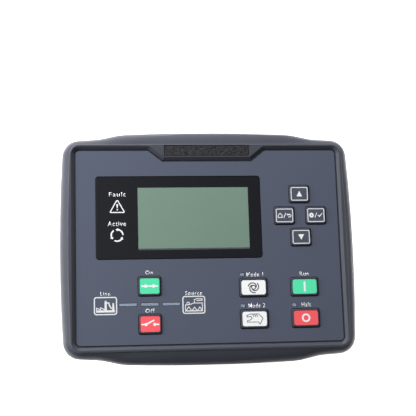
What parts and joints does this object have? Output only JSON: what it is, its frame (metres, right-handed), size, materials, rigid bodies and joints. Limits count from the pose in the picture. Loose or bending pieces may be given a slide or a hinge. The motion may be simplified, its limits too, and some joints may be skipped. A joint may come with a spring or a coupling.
{
  "type": "genset controller",
  "caption": "Panel-mounted generator-set controller: bowed front frame, flat face with display and push keys, deep rear case with plug-in terminals.",
  "frame": {"origin": "centre of the rear face, on the surface that the controller lies on", "axes": "+X across the face to the right, +Y up the face, +Z out of the face"},
  "size_m": [0.209, 0.166, 0.045],
  "materials": {
    "frame_plastic": "fine satin moulded plastic",
    "panel_film": "matt printed film",
    "name_film": "coarse textured black film",
    "window_lens": "clear lens printed black round the view",
    "key_dark": "matt",
    "key_green": "matt printed top",
    "key_red": "matt printed top",
    "key_white": "matt printed top",
    "lcd_metal": "tinned",
    "lcd_glass": "grey-green display, unlit",
    "backlight": "diffusing",
    "light_guide": "translucent blue-grey",
    "circuit_board": "green resist",
    "housing_plastic": "fine textured moulding",
    "gasket_foam": "closed-cell foam",
    "zinc_steel": "zinc plated",
    "terminal_green": "satin",
    "port_shell": "plated",
    "relay_case": "satin",
    "capacitor_sleeve": "shrink sleeve",
    "transformer_tape": "yellow tape",
    "connector_black": "satin"
  },
  "bodies": {
    "case": {"front_frame": "frame_plastic", "name_insert": "name_film", "face_panel": "panel_film", "screen_window": "window_lens", "lcd_bezel": "lcd_metal", "lcd_glass": "lcd_glass", "lcd_backlight": "backlight", "light_auto": "light_guide", "light_manual": "light_guide", "light_stop": "light_guide", "light_bar_left": "light_guide", "light_bar_middle": "light_guide", "light_bar_right": "light_guide", "display_board": "circuit_board", "power_board": "circuit_board", "spacer_1": "zinc_steel", "spacer_2": "zinc_steel", "spacer_3": "zinc_steel", "spacer_4": "zinc_steel", "board_screw_1": "zinc_steel", "board_screw_2": "zinc_steel", "board_screw_3": "zinc_steel", "board_screw_4": "zinc_steel", "relay_1": "relay_case", "relay_2": "relay_case", "relay_3": "relay_case", "relay_4": "relay_case", "capacitor_1": "capacitor_sleeve", "capacitor_2": "capacitor_sleeve", "transformer": "transformer_tape", "board_link": "connector_black", "clock_cell": "zinc_steel", "service_port": "port_shell", "terminal_header_a": "terminal_green", "terminal_header_b": "terminal_green", "terminal_header_c": "terminal_green", "terminal_header_d": "terminal_green", "terminal_plug_a": "terminal_green", "terminal_plug_b": "terminal_green", "terminal_plug_c": "terminal_green", "terminal_plug_d": "terminal_green", "rear_housing": "housing_plastic", "case_screw_1": "zinc_steel", "case_screw_2": "zinc_steel", "case_screw_3": "zinc_steel", "case_screw_4": "zinc_steel", "panel_gasket": "gasket_foam"},
    "up_key": {"key_up": "key_dark"},
    "down_key": {"key_down": "key_dark"},
    "home_key": {"key_home": "key_dark"},
    "set_key": {"key_set": "key_dark"},
    "close_key": {"key_close": "key_green"},
    "open_key": {"key_open": "key_red"},
    "auto_key": {"key_auto": "key_white"},
    "manual_key": {"key_manual": "key_white"},
    "start_key": {"key_start": "key_green"},
    "stop_key": {"key_stop": "key_red"}
  },
  "joints": [
    {"name": "press_up", "type": "slide", "parent": "case", "child": "up_key", "axis": [0, 0, -1], "range_m": [0, 0.001], "stiffness_N_per_m": 1500},
    {"name": "press_down", "type": "slide", "parent": "case", "child": "down_key", "axis": [0, 0, -1], "range_m": [0, 0.001], "stiffness_N_per_m": 1500},
    {"name": "press_home", "type": "slide", "parent": "case", "child": "home_key", "axis": [0, 0, -1], "range_m": [0, 0.001], "stiffness_N_per_m": 1500},
    {"name": "press_set", "type": "slide", "parent": "case", "child": "set_key", "axis": [0, 0, -1], "range_m": [0, 0.001], "stiffness_N_per_m": 1500},
    {"name": "press_close", "type": "slide", "parent": "case", "child": "close_key", "axis": [0, 0, -1], "range_m": [0, 0.001], "stiffness_N_per_m": 1500},
    {"name": "press_open", "type": "slide", "parent": "case", "child": "open_key", "axis": [0, 0, -1], "range_m": [0, 0.001], "stiffness_N_per_m": 1500},
    {"name": "press_auto", "type": "slide", "parent": "case", "child": "auto_key", "axis": [0, 0, -1], "range_m": [0, 0.001], "stiffness_N_per_m": 1500},
    {"name": "press_manual", "type": "slide", "parent": "case", "child": "manual_key", "axis": [0, 0, -1], "range_m": [0, 0.001], "stiffness_N_per_m": 1500},
    {"name": "press_start", "type": "slide", "parent": "case", "child": "start_key", "axis": [0, 0, -1], "range_m": [0, 0.001], "stiffness_N_per_m": 1500},
    {"name": "press_stop", "type": "slide", "parent": "case", "child": "stop_key", "axis": [0, 0, -1], "range_m": [0, 0.001], "stiffness_N_per_m": 1500}
  ]
}
